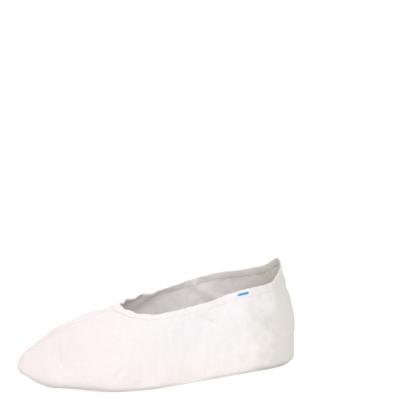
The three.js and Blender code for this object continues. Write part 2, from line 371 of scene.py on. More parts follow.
def smooth_place(around, up):
    """Below the widest point: leaves the sole nearly level and arrives upright. Above it: stays
    upright for its rise, then comes in to the opening at its lean for the length of its run."""
    around, up = np.broadcast_arrays(around, up)
    sole = sole_edge(around)
    widest, opening, fullness = (round_the_bag(part, around) for part in (WIDEST, OPENING, FULLNESS))
    rise, lean, run = np.split(fullness, 3, axis=-1)
    out = widest - sole
    flat = FLOOR_FOLD * fade_in(1 - (sole[..., 2:] - FLOOR_CLEARANCE) / FLOOR_LIFT)
    level = out * (1, 1, BEND_LIFT) * (BEND_OUT + flat)
    upright = out * UP * (BEND_UPRIGHT + flat)
    low = bezier(sole, sole + level, widest - upright, widest, np.clip(up / WIDEST_SHARE, 0, 1))
    away = unit((widest - opening) * (1, 1, 0))
    approach = (away * np.cos(np.radians(lean)) - UP * np.sin(np.radians(lean))) * run
    part = np.clip((up - WIDEST_SHARE) / (1 - WIDEST_SHARE), 0, 1)
    high = bezier(widest, widest + UP * rise, opening + approach, opening, part)
    return np.where((up < WIDEST_SHARE)[..., None], low, high)


def directions(around, up):
    """The change of place per share round and per share up, from two near places each, and the
    direction straight out of the bag, which is square to both."""
    low, high = np.maximum(up - NEARBY, 0), np.minimum(up + NEARBY, 1)
    along = (smooth_place(around + NEARBY, up) - smooth_place(around - NEARBY, up)) / (2 * NEARBY)
    climb = (smooth_place(around, high) - smooth_place(around, low)) / (high - low)[..., None]
    return along, climb, unit(np.cross(along, climb))


OPENING_WALK = walked(smooth_place(ROUND_SHARES, 1.0))  # mm from the toe
OPENING_LENGTH = OPENING_WALK[-1]
print("round the opening: %.0f mm" % OPENING_LENGTH)

# %% [markdown]
# ## Folds
# Cloth over a shoe folds where the foot bends and where the elastic pulls. Each fold here is a
# soft groove along a short line, with two raised lips beside it, as cloth has when it is pressed
# together. The narrow ones are creases, which run out softly at both ends. A sculptor would draw
# them by hand. A table keeps them easy to move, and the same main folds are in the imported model.

# %% Folds, creases and dents
#   from: fwd in up  to: fwd in up  half width, depth (inwards if negative), share in the lips
FOLDS = [
    (76, 36, 85, 30, 33, 41, 4.8, -2.7, 0.45),  # drag fold from under the ankle to the heel
    (124, 40, 72, 102, 39, 60, 3.2, -1.2, 0.5),  # short crease under the opening
    (59, 36, 29, 32, 33, 25, 2.8, -0.9, 0.4),  # pressed wrinkle beside the heel
    (57, 36, 21, 32, 33, 18, 2.8, -0.7, 0.4),  # pressed wrinkle below it
    (57, 36, 14, 32, 33, 11, 2.8, -0.8, 0.4),  # the lowest of the three
    (222, 49, 20, 209, 49, 30, 2.8, -0.9, 0.4),  # crease where the ball bends
    (199, 47, 8, 191, 47, 12, 2.8, -0.5, 0.4),  # crease behind the ball
    (247, 26, 62, 233, 24, 68, 3, -1.0, 0.4),  # crease over the toes
    (205, 33, 70, 199, 34, 72, 5, -0.9, 0.3),  # pucker under the opening
    (218, 39, 61, 213, 41, 59, 5, -0.9, 0.3),  # pucker above the ball
    (285, 20, 50, 289, 34, 33, 5, 1.5, 0),  # soft edge of the shoe's toe cap
    (271, 24, 52, 273, 40, 36, 9, -2.9, 0.1),  # hollow behind that edge
    (136, 43, 52, 134, 42, 16, 20, -2.2, 0),  # hollow of the arch
    (286, 3, 54, 284, -5, 55, 5, 1.2, 0.2),  # knuckle on the toe seam
    (260, -25, 55, 222, -24, 71, 10, 2.4, 0.1),  # swell over the small toes
    (150, -39, 77, 206, -52, 30, 6, -1.8, 0.5),  # drag fold on the outer side
    (170, -35, 76, 232, -50, 34, 6, -1.5, 0.5),  # drag fold in front of it
    (98, -40, 80, 60, -37, 52, 5, -1.6, 0.45),  # drag fold outside the ankle
    (60, -38, 28, 32, -35, 24, 3, -1.0, 0.4),  # pressed wrinkle beside the heel, outside
    (244, -40, 56, 230, -36, 62, 4, -1.2, 0.4),  # crease over the small toes
    (120, -45, 48, 122, -44, 18, 20, -1.8, 0),  # hollow of the outer waist
    (8, 14, 84, 4, -12, 78, 5, -1.3, 0.4),  # crease across the back of the heel
]
NARROW = 5  # mm of half width, and narrower folds are creases, which run out at their ends
END_FADE = 0.5  # share of its depth that a crease has lost there
LIP_REACH = 2  # half widths from the line of a fold to the middle of its lips


def fold_push(place, folds=FOLDS):
    """Each fold pushes by its depth times exp(-r squared), less its lip's share of the same hump
    centred at the lip's reach, where r is the distance to the fold's line over its half width. A
    crease loses depth with the square of the distance from its middle."""
    push = np.zeros(place.shape[:-1])
    for row in folds:
        start, end = np.array(row[0:3]), np.array(row[3:6])
        width, depth, lip = row[6:9]
        line = end - start
        part = np.clip((place - start) @ line / (line @ line), 0, 1)[..., None]
        reach = np.linalg.norm(place - start - part * line, axis=-1) / width
        lost = END_FADE * (2 * part[..., 0] - 1) ** 2 if width < NARROW else 0
        hump = np.exp(-(reach**2)) - lip * np.exp(-((reach - LIP_REACH) ** 2))
        push += depth * (1 - lost) * hump
    return push


print("folds:", len(FOLDS))

# %% [markdown]
# Between the folds the cloth is never quite flat. Slow swells bow it, and small soft crumples
# break it up. The crumples come from random heights on a coarse lattice, joined by smooth
# ramps. Their absolute value, turned over, has sharp ridges, like the creases of a sheet that
# has been folded in a packet. A noise texture could displace the mesh too, but this lattice
# closes on itself round the bag, so no step shows at the toe.

# %% Swells and crumples
SWING_ACROSS = 130  # mm across the foot for one swing
#   length of a swing forwards and upwards, depth and shift, in mm
SWELLS = [(97, 61, 0.7, 0.4), (53, 83, 0.55, 1.9), (37, 41, 0.35, 3.1)]
#   cells round the bag, cells up it, depth in mm, seed
CRUMPLES = [(34, 7, 0.16, 3), (70, 15, 0.12, 8), (134, 27, 0.07, 21)]
CRUMPLE_SLANT = 0.35  # cells that the lattice leans aside for each cell upwards
CRUMPLE_LEVEL = 0.4  # height of the noise that neither rises nor sinks
CRUMPLE_ROUNDING = 0.1  # the ridges are rounded off where the noise is smaller than this


def swell_push(place):
    """A sum of sines along the foot, each times a cosine of the height."""
    push = np.zeros(place.shape[:-1])
    for forward, height, depth, shift in SWELLS:
        along = 2 * np.pi * (place[..., 0] / forward + place[..., 1] / SWING_ACROSS) + shift
        push += depth * np.sin(along) * np.cos(2 * np.pi * place[..., 2] / height + shift)
    return push


def lattice_noise(around, up, cells_round, cells_up, seed):
    """Random heights from -1 to 1 on a lattice, joined by the ramp 3t^2 - 2t^3 both ways."""
    heights = np.random.default_rng(seed).uniform(-1, 1, (cells_round, cells_up + 2))
    x, y = np.mod(around, 1.0) * cells_round, np.clip(up, 0, 1) * cells_up
    i, j = np.floor(x).astype(int) % cells_round, np.floor(y).astype(int)
    s, t = fade_in(x - np.floor(x)), fade_in(y - j)
    right = (i + 1) % cells_round
    low = heights[i, j] * (1 - s) + heights[right, j] * s
    high = heights[i, j + 1] * (1 - s) + heights[right, j + 1] * s
    return low * (1 - t) + high * t


def crumple_push(around, up):
    """The sum over three sizes of depth times (level - |noise|), with the sharp ridges rounded."""
    push = np.zeros(np.broadcast(around, up).shape)
    for cells_round, cells_up, depth, seed in CRUMPLES:
        slant = around + CRUMPLE_SLANT * up * cells_up / cells_round
        noise = lattice_noise(slant, up, cells_round, cells_up, seed)
        push += depth * (CRUMPLE_LEVEL - np.hypot(noise, CRUMPLE_ROUNDING))
    return push


print("swells:", len(SWELLS), "crumples:", len(CRUMPLES))

# %% [markdown]
# ## Gathers
# The elastic in the hem is shorter than the cloth, so the cloth stands in small pinched waves
# that die out a finger's breadth below the hem. Even waves would look like a machine's work.
# A slow wander of their phase and of their strength makes each one a little different.

# %% Gathers below the opening
PUCKERS = 15  # broad soft waves
PUCKER_DEPTH = 0.75
PUCKER_REACH = 0.16  # share of a rib that they run down
PINCHES = 58  # narrow waves, at the hem itself
PINCH_DEPTH = 0.62
PINCH_REACH = 9.0  # mm below the opening at which they have lost two thirds of their depth
PINCH_MEAN = 0.375  # the mean of a raised cosine's square
STRENGTH, STRENGTH_SWING = 0.75, 0.35  # of a pinch, as a share of its depth
REACH_SWING = 0.5  # share by which the reach of the pinches wanders
#   turns round the opening, radians by which it shifts the pinches, where it starts
WANDERS = [(5, 1.3, 0.7), (11, 0.9, 2.1), (17, 0.6, 0.0)]
#   turns round the opening, where it starts
STRENGTH_WAVES = [(7, 1.1), (3, 0.4)]
REACH_WAVE = (13, 0.5)


def wave(around, turns, start):
    """A sine that repeats so many times round the opening."""
    return np.sin(2 * np.pi * turns * around + start)


def gather_push(around, up, below_top):
    """Broad waves that end in a straight ramp, and narrow pinched ones that fade as
    exp(-(distance below the opening / reach)). A pinch is the square of a raised cosine."""
    broad = wave(around, PUCKERS, np.pi / 2) * np.clip(1 - (1 - up) / PUCKER_REACH, 0, 1)
    wander = sum(shift * wave(around, turns, start) for turns, shift, start in WANDERS)
    raised = 0.5 + 0.5 * np.cos(2 * np.pi * PINCHES * around + wander)
    fast, slow = (wave(around, *row) for row in STRENGTH_WAVES)
    pinch = (raised**2 - PINCH_MEAN) * (STRENGTH + STRENGTH_SWING * fast * slow)
    reach = PINCH_REACH * (1 + REACH_SWING * wave(around, *REACH_WAVE))
    narrow = pinch * np.exp(-np.maximum(below_top, 0) / reach)
    return PUCKER_DEPTH * broad + PINCH_DEPTH * narrow


def rib_end(around):
    """Millimetres for a whole share of a rib, by its slope at the opening."""
    _, climb, _ = directions(around, np.ones_like(around))
    return np.linalg.norm(climb, axis=-1)


def share_below(around, distance):
    """The share of a rib that lies below a distance in mm from the opening."""
    return 1 - distance / rib_end(around)


print("narrow gathers every %.1f mm" % (OPENING_LENGTH / PINCHES))

# %% [markdown]
# ## The cloth surface
# All pushes are added up and moved along the direction straight out of the bag. They fade out
# at the sole edge, where the panels are sewn to the underside and can't move. A shallow valley
# runs where the hem is stitched down.

# %% Places on the cloth
HEM_DEPTH = 9.0  # mm from the fold of the hem to its stitches, by the slope of the rib's end
STITCH_DIMPLE = 0.08  # mm by which the stitches sink into the cloth
DIMPLE_HALF = 1.1  # mm from its middle to where that valley has lost two thirds of its depth
SEWN_SHARE = 0.08  # share of a rib over which the pushes fade in from the sole edge


def total_push(around, up):
    """Everything that moves the cloth off the smooth bag, and zero at the sole edge."""
    place = smooth_place(around, up)
    below = (1 - up) * rib_end(around)
    push = fold_push(place) + swell_push(place) + crumple_push(around, up)
    push += gather_push(around, up, below)
    push -= STITCH_DIMPLE * np.exp(-(((below - HEM_DEPTH) / DIMPLE_HALF) ** 2))
    return push * fade_in(up / SEWN_SHARE)


def cloth_place(around, up, outward):
    """A place on the cloth, so many millimetres off its outer face, in foot measures."""
    around, up = np.broadcast_arrays(np.asarray(around, float), np.asarray(up, float))
    _, _, out = directions(around, up)
    return smooth_place(around, up) + out * (total_push(around, up) + outward)[..., None]


def below_the_hem(around, rows):
    """Shares round and up, from the sole edge to the stitches of the hem, and the way out."""
    up = np.linspace(0, 1, rows)[None, :] * share_below(around[:, None], HEM_DEPTH)
    around = np.broadcast_to(around[:, None], up.shape)
    _, _, out = directions(around, up)
    return around, up, out


print("the hem is stitched down at %.1f mm" % HEM_DEPTH)

# %% [markdown]
# ## From a grid to a mesh
# A grid of places becomes a mesh of four-sided faces. Its map of the cloth is measured along
# the surface itself, in metres, so that a pattern in the cloth has the same size everywhere.

# %% Mesh helpers
CELL_CORNERS = np.array([(0, 0), (1, 0), (1, 1), (0, 1)])  # column and row, one way round


def flat_map(grid):
    """Lengths along both ways of the grid in metres: each place's distance from the middle column
    along its row, and from the first row up its column."""
    across = walked(grid)
    return np.stack([across - across[len(across) // 2], walked(grid, 1)], axis=-1)


def grid_corners(columns, rows):
    """The column and the row of the four corners of every cell."""
    cells = np.stack(np.meshgrid(np.arange(columns - 1), np.arange(rows - 1), indexing="ij"), axis=-1)
    corners = cells.reshape(-1, 1, 2) + CELL_CORNERS
    return corners[..., 0], corners[..., 1]


def new_piece(name, places, faces):
    """A smooth-shaded mesh object at the origin, from places in metres."""
    mesh = bpy.data.meshes.new(name)
    mesh.from_pydata(places.reshape(-1, 3), [], faces)
    mesh.polygons.foreach_set("use_smooth", np.ones(len(faces), bool))
    obj = bpy.data.objects.new(name, mesh)
    scene.collection.objects.link(obj)
    return obj


def cloth_piece(name, grid, closed=False, capped=False):
    """A piece with its map from a grid of places. A closed grid joins its last column to its
    first, and a capped one gets a face over each open end."""
    columns, rows = grid.shape[:2]
    if closed:
        grid = np.concatenate([grid, grid[:1]])
    column, row = grid_corners(len(grid), rows)
    faces = (column % columns * rows + row).tolist()
    if capped:
        ring = np.arange(columns) * rows
        faces += [ring[::-1].tolist(), (ring + rows - 1).tolist()]
    piece = new_piece(name, grid[:columns], faces)
    uv = np.zeros((len(piece.data.loops), 2))
    uv[: column.size] = flat_map(grid)[column.ravel(), row.ravel()]
    piece.data.uv_layers.new(name="cloth").data.foreach_set("uv", uv.ravel())
    return piece


# %% Numbers and thickness
def write_number(piece, name, values):
    """One number for every vertex, which a material reads by its name."""
    piece.data.attributes.new(name, "FLOAT", "POINT").data.foreach_set("value", np.ravel(values))


def give_thickness(piece, thickness):
    """Solidify thickens the sheet away from its outer face. Its area is printed first."""
    areas = np.empty(len(piece.data.polygons))
    piece.data.polygons.foreach_get("area", areas)
    print(piece.name, "%.4f square metres" % areas.sum())
    solid = piece.modifiers.new("thickness", "SOLIDIFY")
    solid.thickness = thickness * MM
    solid.offset = -1
    solid.use_even_offset = True


# %% [markdown]
# ## Letting the cloth settle
# A formula puts the main folds where they belong, but it doesn't know how thin cloth creases
# between them. Blender's Cloth does. A coarser copy of the bag is laid over a hard form just
# inside it, held at its sole edge, hem and seams, and made a little too large, as the real cover
# is. It can only go outwards, so it buckles into the small drag folds that such covers have. It
# is also held where a real one is pulled tight: over the tip of the shoe, and in the main drag
# folds, which the elastic pulls in. The copy is ten times life size, where the solver works best,
# and only its movement is kept.

# %% Measures of the simulation
SETTLE_COLUMNS = 360
SETTLE_ROWS = 64
SETTLE_SCALE = 10
SETTLE_FRAMES = 26
SPARE_CLOTH = 0.008  # share by which the cloth is too large
FORM_DEPTH = 0.45  # mm from the cloth to the hard form inside it
CONTACT = 0.003  # metres at the large scale at which the two touch
FORM_SKIN = 0.02  # metres inside the form from which the cloth is still pushed out
FRICTION = 15
KEPT_BULGE = 0.5  # share kept of the broad movement, which would make the cover fatter
KEPT_MOVE = 0.65  # share kept of all movement, because creases in thin cloth are shallow
BULGE_ROUNDS = 60  # rounds of averaging that leave the broad movement alone
CALM_ROWS = 6  # rows from the sole edge and the hem over which less of the bulge is taken away
HELD_ROWS = 4  # rows at the sole edge that the sewn edge holds
HELD_TOP = 2  # rows that the stitches of the hem hold
TIGHT_TOE = 280  # mm forward, where the shoe's tip pulls the cloth tight
TIGHT_FOLD = 0.8  # mm, and the drag folds are held where they are deeper than this
DRAG_WIDTH, DRAG_DEPTH = 8, -1.2  # a drag fold is narrower than this, and at least so deep
DRAG_FOLDS = [row for row in FOLDS if row[6] < DRAG_WIDTH and row[7] <= DRAG_DEPTH]
CLOTH_RULES = {
    "quality": 5, "mass": 0.3, "air_damping": 2,
    "tension_stiffness": 20, "compression_stiffness": 20, "shear_stiffness": 10,
    "bending_stiffness": 0.6, "bending_damping": 1,
    "tension_damping": 10, "compression_damping": 10, "shear_damping": 10,
    "shrink_min": -SPARE_CLOTH, "vertex_group_mass": "held",
}
GRAVITY_SHARE = 0.1
print("main drag folds:", len(DRAG_FOLDS))


# %% The form and the loose cloth
def settle_grid(outward):
    """Places on a coarse grid below the hem, so many millimetres off the cloth's outer face, and
    the direction out of each."""
    around, up, out = below_the_hem(np.linspace(0, 1, SETTLE_COLUMNS, endpoint=False), SETTLE_ROWS)
    return cloth_place(around, up, outward), out


def hard_form(grid):
    """The form inside the cloth, which the cloth rests on."""
    form = cloth_piece("hard_form", grid, closed=True)
    form.modifiers.new("collision", "COLLISION")
    form.collision.thickness_outer = CONTACT
    form.collision.thickness_inner = FORM_SKIN
    form.collision.cloth_friction = FRICTION
    return form


def loose_cloth(grid, held):
    """The cloth that settles: also held at the sole edge, under the hem and along both seams."""
    cloth = cloth_piece("loose_cloth", grid, closed=True)
    held[:, :HELD_ROWS] = held[:, -HELD_TOP:] = True
    held[[0, SETTLE_COLUMNS // 2]] = True
    group = cloth.vertex_groups.new(name="held")
    group.add(np.flatnonzero(held).tolist(), 1.0, "REPLACE")
    solver = cloth.modifiers.new("settle", "CLOTH")
    for rule, value in CLOTH_RULES.items():
        setattr(solver.settings, rule, value)
    solver.settings.effector_weights.gravity = GRAVITY_SHARE
    solver.collision_settings.collision_quality = 2
    solver.collision_settings.distance_min = CONTACT
    solver.point_cache.frame_start = 1
    solver.point_cache.frame_end = SETTLE_FRAMES
    return cloth


# %% Cloth simulation
def spread(field, times):
    """The field, averaged with its neighbours so many times, round the bag and up it."""
    for _ in range(times):
        field = (np.roll(field, 1, 0) + 2 * field + np.roll(field, -1, 0)) / 4
        wide = np.pad(field, ((0, 0), (1, 1)), mode="edge")
        field = (wide[:, :-2] + 2 * field + wide[:, 2:]) / 4
    return field


def settled_moves():
    """How far each place of the coarse grid moves while the cloth settles, in metres."""
    start, out = settle_grid(0)
    tight = (start[..., 0] > TIGHT_TOE) | (fold_push(start, DRAG_FOLDS) < -TIGHT_FOLD)
    start, out = to_frame(start), out * (-1, -1, 1)
    form = hard_form(to_frame(settle_grid(-FORM_DEPTH)[0]) * SETTLE_SCALE)
    cloth = loose_cloth(start * SETTLE_SCALE, tight)
    for frame_number in range(1, SETTLE_FRAMES + 1):
        scene.frame_set(frame_number)
    settled = cloth.evaluated_get(bpy.context.evaluated_depsgraph_get()).data
    places = np.empty(len(settled.vertices) * 3)
    settled.vertices.foreach_get("co", places)
    scene.frame_set(1)
    for helper in (cloth, form):
        bpy.data.objects.remove(helper)
    moves = (places.reshape(start.shape) / SETTLE_SCALE - start) * KEPT_MOVE
    bulge = spread((moves * out).sum(axis=-1), BULGE_ROUNDS)
    calm = np.minimum(np.arange(SETTLE_ROWS), np.arange(SETTLE_ROWS)[::-1]) / CALM_ROWS
    return moves - out * ((1 - KEPT_BULGE) * bulge * fade_in(calm))[..., None]


MOVES = settled_moves()
print("the cloth settled by up to %.1f mm" % (np.linalg.norm(MOVES, axis=-1).max() / MM))


# %% Reading the movement anywhere
def settled_move(around, up):
    """The movement between the coarse grid's places: cubic both ways, and closed round the bag.
    It is nothing above the stitches of the hem."""
    column = np.mod(around, 1.0) * SETTLE_COLUMNS
    row = np.clip(up / share_below(around, HEM_DEPTH), 0, 1) * (SETTLE_ROWS - 1)
    left, low = np.floor(column).astype(int), np.floor(row).astype(int)
    move = np.zeros((*column.shape, 3))
    for across, part in enumerate(cubic_weights(column - left)):
        beside = (left + across - 1) % SETTLE_COLUMNS
        for upwards, share in enumerate(cubic_weights(row - low)):
            near = np.clip(low + upwards - 1, 0, SETTLE_ROWS - 1)
            move += (part * share)[..., None] * MOVES[beside, near]
    return move


# %% [markdown]
# ## Side panels
# The two panels are the upper of the cover. Each is one piece of cloth, cut to a low arch and
# sewn to the other at the toe and the heel. The fine grid takes the settled movement from the
# coarse one. Its first rows turn down over the edge of the underside, so no gap shows there.
# The valleys of the creases are painted a little darker, as shade, and cloth that faces down at
# the toe is painted grey, as the shade under it. Two numbers on every vertex tell the material how
# deep it lies and how much of that painted shade it takes.

# %% Side panels
PANEL_COLUMNS = 300
PANEL_ROWS = 126
TURN_ROWS = 2
TURN_DOWN = 0.95  # mm from the sole edge down over the edge of the underside
CLOTH = 0.4
VALLEY_ROUNDS = 24  # rounds of averaging that give the surroundings of a place
DOWN_SHADE_FROM, DOWN_SHADE_LENGTH = 205, 50  # mm forward where the painted shade under the toe begins, and how softly
DOWN_SHADE_SLOPE, DOWN_SHADE_SPAN = 0.1, 0.5  # how far down the cloth has to face, and how softly


def valley_depth(push):
    """How far each place lies below the average of its surroundings, in mm, and never below 0."""
    near = push
    for _ in range(VALLEY_ROUNDS):
        wide = np.pad(near, 1, mode="edge")
        near = (wide[:-2, 1:-1] + wide[2:, 1:-1] + wide[1:-1, :-2] + wide[1:-1, 2:]) / 4
    return np.clip(near - push, 0, None)


def down_facing_shade(place, out):
    """Painted shade where the cloth faces down, in front of the ball."""
    forward = fade_in((place[..., 0] - DOWN_SHADE_FROM) / DOWN_SHADE_LENGTH)
    return forward * fade_in((-out[..., 2] - DOWN_SHADE_SLOPE) / DOWN_SHADE_SPAN)


def side_panel(name, start, end):
    """The cloth surface between two seams, from the sole edge up to the stitches of the hem."""
    around, up, out = below_the_hem(np.linspace(start, end, PANEL_COLUMNS), PANEL_ROWS)
    push, move = total_push(around, up), settled_move(around, up)
    smooth = smooth_place(around, up)
    place = to_frame(smooth + out * push[..., None]) + move
    edge = np.linspace(TURN_DOWN, 0, TURN_ROWS + 1)[None, :-1, None] * UP * MM
    panel = cloth_piece(name, np.concatenate([place[:, :1] - edge, place], axis=1))
    # how deep each place lies, which sets the painted shade in its valley
    valley = valley_depth(push + (move * out * (-1, -1, 1)).sum(axis=-1) / MM)
    turned = ((0, 0), (TURN_ROWS, 0))
    write_number(panel, "valley", np.pad(valley, turned))
    # painted shade where the cloth faces down at the toe
    write_number(panel, "rub_and_shade", np.pad(down_facing_shade(smooth, out), turned, mode="edge"))
    give_thickness(panel, CLOTH)
    print("its valleys are up to %.1f mm deep" % valley.max())
    return panel


inner_panel = side_panel("inner_panel", TOE, HEEL)
outer_panel = side_panel("outer_panel", HEEL, 1.0)

# %% [markdown]
# ## Hem
# The top edge of the cloth is folded down on the inside and stitched, which makes a casing for
# the elastic. It could be the last rows of the panels, but the pinched gathers need more columns
# than the panels do. So it is one strip of its own that goes up the outside, over the fold and
# down the inside. Its outer layer goes on where the panels end, so that only the stitches show
# where the hem begins.

# %% Elastic hem
HEM_COLUMNS = 760
HEM_RISE_ROWS, HEM_FOLD_ROWS, HEM_DROP_ROWS = 14, 9, 12  # up the outside, over and down inside
CASING = 1.9  # mm between the two layers
CASING_END = 0.35  # radians, whose sine is the share of that left between them at the stitches
BELLY = 0.15  # mm by which the elastic fills the casing out


def hem_profile():
    """Up the outer face, half an ellipse over the fold and down the inner face, as distances in
    mm below the opening and outwards."""
    rise = np.linspace(HEM_DEPTH, CASING / 2, HEM_RISE_ROWS)
    bend = np.linspace(0, np.pi, HEM_FOLD_ROWS + 2)[1:-1]
    drop = np.linspace(CASING / 2, HEM_DEPTH, HEM_DROP_ROWS)
    belly = BELLY * np.sin(np.pi * (HEM_DEPTH - rise) / HEM_DEPTH)
    inner = -CASING * np.sin(np.linspace(np.pi / 2, CASING_END, HEM_DROP_ROWS))
    below = np.concatenate([rise, CASING / 2 * (1 - np.sin(bend)), drop])
    outward = np.concatenate([belly, -CASING / 2 * (1 - np.cos(bend)), inner])
    return below, outward


def hem_strip():
    """The profile carried round the opening. Two numbers on every vertex tell how far it is from
    the heel seam and from the stitches, measured on the flat strip in metres."""
    below, outward = hem_profile()
    around = np.linspace(0, 1, HEM_COLUMNS, endpoint=False)[:, None]
    up = share_below(around, below[None, :])
    places = cloth_place(around, up, np.broadcast_to(outward, up.shape))
    strip = cloth_piece("hem", to_frame(places), closed=True)
    from_toe, heel_from_toe = (np.interp(share, ROUND_SHARES, OPENING_WALK) for share in (around, HEEL))
    climbed = walked(np.stack([below, outward], axis=-1))[None, :]
    write_number(strip, "from_heel", np.broadcast_to((from_toe - heel_from_toe) * MM, up.shape))
    write_number(strip, "from_stitches", np.broadcast_to(climbed * MM, up.shape))
    give_thickness(strip, CLOTH)
    return strip


hem = hem_strip()

# %% [markdown]
# ## Stitches of the hem
# A machine sews the hem down with one row of short stitches. Bump could draw them, but a real
# tube casts a small shadow and keeps its shape in the mesh. Each stitch is a tiny tube that dips
# into the cloth at both ends. All of them are one mesh, worked out as one array.

# %% Hem stitches
STITCH_LENGTH = 2.5
STITCH_STEP = 3.6
STITCH_ABOVE = 0.1  # mm from the middle of the stitched valley up to the row
STITCH_ARCH = 0.24  # mm by which the middle of a stitch lies above its ends
STITCH_DIP = 0.14  # mm by which its ends lie below the face of the cloth
STITCH_END = 0.6  # share of the thread's thickness that its ends have
STITCH_STATIONS = 5
THREAD = 0.17  # half the thickness of the thread, in mm
THREAD_SIDES = 6


def thread_tubes(name, centre, sideways, outwards, radius):
    """Tubes round many short lines at once: at every place of a line, a ring of the given radius
    in the plane of its sideways and outward directions, with a face over both ends."""
    tubes, stations = centre.shape[:2]
    angle = np.linspace(0, 2 * np.pi, THREAD_SIDES, endpoint=False)[:, None]
    ring = np.cos(angle) * sideways[:, :, None] + np.sin(angle) * outwards[:, :, None]
    places = centre[:, :, None] + radius[..., None, None] * ring
    side, station = grid_corners(THREAD_SIDES + 1, stations)
    quads = station * THREAD_SIDES + side % THREAD_SIDES
    first = np.arange(THREAD_SIDES)
    ends = np.stack([first[::-1], first + (stations - 1) * THREAD_SIDES])
    start = np.arange(tubes)[:, None, None] * stations * THREAD_SIDES
    faces = (quads + start).reshape(-1, 4).tolist() + (ends + start).reshape(-1, THREAD_SIDES).tolist()
    print(name, "has", tubes, "threads and", len(faces), "faces")
    return new_piece(name, to_frame(places), faces)


def stitch_row():
    """Each stitch is an arch: half a cosine that rises out of the cloth and dips back into it."""
    count = int(OPENING_LENGTH / STITCH_STEP)
    part = np.linspace(-0.5, 0.5, STITCH_STATIONS)[None, :]
    around = (np.arange(count)[:, None] + 0.5 + part * STITCH_LENGTH / STITCH_STEP) / count
    up = share_below(around, HEM_DEPTH - STITCH_ABOVE)
    arch = np.cos(np.pi * part) * np.ones_like(around)
    _, climb, out = directions(around, up)
    centre = cloth_place(around, up, STITCH_ARCH * arch - STITCH_DIP)
    radius = THREAD * (STITCH_END + (1 - STITCH_END) * arch)
    return thread_tubes("hem_stitches", centre, unit(climb), out, radius)


hem_stitches = stitch_row()

# %% [markdown]
# ## Underside
# The underside is one flat sheet as long as the foot. It lies on the floor from the heel to the
# ball and lifts a little at the toe. A filled outline would have long thin faces, so it is drawn
# as straight lines between the two sole edges instead. It stops a millimetre before the seams
# along the edge, so that its ends are short lines and not single points. The foot presses
# hardest under the heel and under the ball, so it is rubbed most there.

# %% Underside
SOLE_STATIONS = 260
SOLE_ROWS = 64
SOLE_ENDS = 0.004  # share of the way round by which the sheet stops short of the toe and heel
SOLE_CLOTH = 0.5
SOLE_DROP = 1.45  # mm from the sole edge down to the lower face of the underside
#   forward and inward to the middle of a pressed patch, and its reach, in mm
PRESSED = [(40, -3, 38), (215, -3, 55)]
RUB_EVEN, RUB_PRESSED = 0.25, 0.45  # rub everywhere, and added where the foot presses


def underside():
    """Straight lines from the outer to the inner sole edge, all a little below them."""
    around = np.linspace(SOLE_ENDS, HEEL - SOLE_ENDS, SOLE_STATIONS)
    inner, outer = sole_edge(around), sole_edge(-around)
    across = np.linspace(0, 1, SOLE_ROWS)[None, :, None]
    place = outer[:, None] * (1 - across) + inner[:, None] * across
    place[..., 2] -= SOLE_DROP
    return place


def sole_rub(place):
    """Two soft round patches, under the heel and under the ball: exp(-(distance / reach)^2)."""
    pressed = 0
    for *middle, reach in PRESSED:
        away = np.linalg.norm(place[..., :2] - middle, axis=-1) / reach
        pressed += np.exp(-(away**2))
    return RUB_EVEN + RUB_PRESSED * pressed


sole_places = underside()
sole = cloth_piece("underside", to_frame(sole_places))
write_number(sole, "rub_and_shade", sole_rub(sole_places))
give_thickness(sole, SOLE_CLOTH)

# %% [markdown]
# ## Seams
# Where the panels meet, their edges are turned up together and oversewn. That leaves a low
# raised welt with a thread wound round it. A bevelled curve could make both, but it would turn
# freely about its line. Here the profile always stands on the cloth: the welt is a small one
# carried up the rib, and the thread is a thin tube along a flattened helix round it.

# %% Measures of the seams
WELT_HALF = 1.1
WELT_HEIGHT = 1.1
WELT_ROWS = 340
WELT_SIDES = 20
WELT_TUCK = 0.6  # mm by which a seam runs on above the stitches of the hem
WELT_WAVE = 0.08  # share by which the thread pulls the welt in
WELT_TAPER = 2.5  # mm over which a seam's end thins out
THINNEST = 0.05  # the share left at the very end, before its root is taken
WELT_BASE, THREAD_BASE = -0.45, -0.5  # shares of the height where the profile is cut off flat
THREAD_OFF = 0.1  # mm from the welt to the middle of its thread
THREAD_TURN = 2.6  # mm of seam for each turn of the thread
TURN_STEPS = 12
print("turns of thread for each 10 mm: %.1f" % (10 / THREAD_TURN))


# %% Welts and threads
def seam_path(around, count):
    """Places up one rib from the sole edge to the hem, its sideways and outward directions, the
    length of seam up to each place, and a taper, the root of the share of the way from an end."""
    start = np.full(count, around)
    up = np.linspace(0, 1, count) * share_below(start, HEM_DEPTH - WELT_TUCK)
    along, _, out = directions(start, up)
    centre = cloth_place(start, up, 0.0)
    length = walked(centre)
    taper = np.clip(np.minimum(length, length[-1] - length) / WELT_TAPER, THINNEST, 1) ** 0.5
    return centre, unit(along), out, length, taper


def welt(name, around):
    """A closed rounded profile, half an ellipse over the seam and flat below it, carried along
    it. Small waves show where the stitches pull it in, and both ends taper into the cloth."""
    centre, sideways, out, length, taper = seam_path(around, WELT_ROWS)
    angle = np.linspace(0, 2 * np.pi, WELT_SIDES, endpoint=False)[:, None]
    size = (1 + WELT_WAVE * np.sin(2 * np.pi * length / THREAD_TURN)) * taper
    across = np.cos(angle) * WELT_HALF * size
    height = np.maximum(np.sin(angle), WELT_BASE) * WELT_HEIGHT * size
    grid = centre + across[..., None] * sideways + height[..., None] * out
    return cloth_piece(name, to_frame(grid), closed=True, capped=True)


